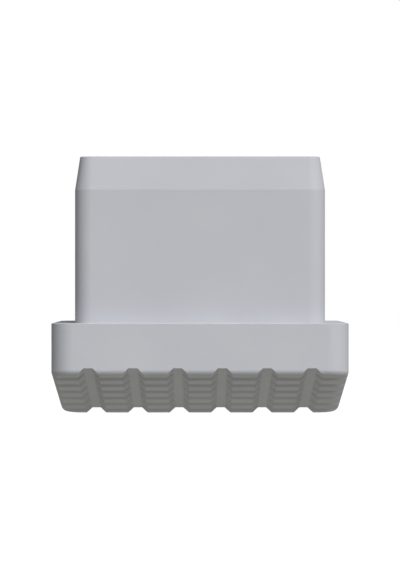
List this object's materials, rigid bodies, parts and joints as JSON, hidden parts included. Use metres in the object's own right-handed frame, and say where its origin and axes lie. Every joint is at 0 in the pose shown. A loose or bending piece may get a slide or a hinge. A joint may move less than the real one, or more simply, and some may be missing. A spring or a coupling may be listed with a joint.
{
  "type": "square tube end cap",
  "caption": "Angled end cap for a square tube: a hollow square plug on a wider collar with a sloping, cross-grooved sole.",
  "frame": {"origin": "centre of the plug in the plane of the collar's flat ledge, where the tube's end sits", "axes": "+Z along the plug and the tube, away from the sole; -Y towards the collar's short side; X across, with the part the same on both sides"},
  "size_m": [0.04, 0.04, 0.0358],
  "materials": {
    "cap_plastic": "fine matt moulded texture"
  },
  "bodies": {
    "root": {"end_cap": "cap_plastic"}
  },
  "joints": []
}
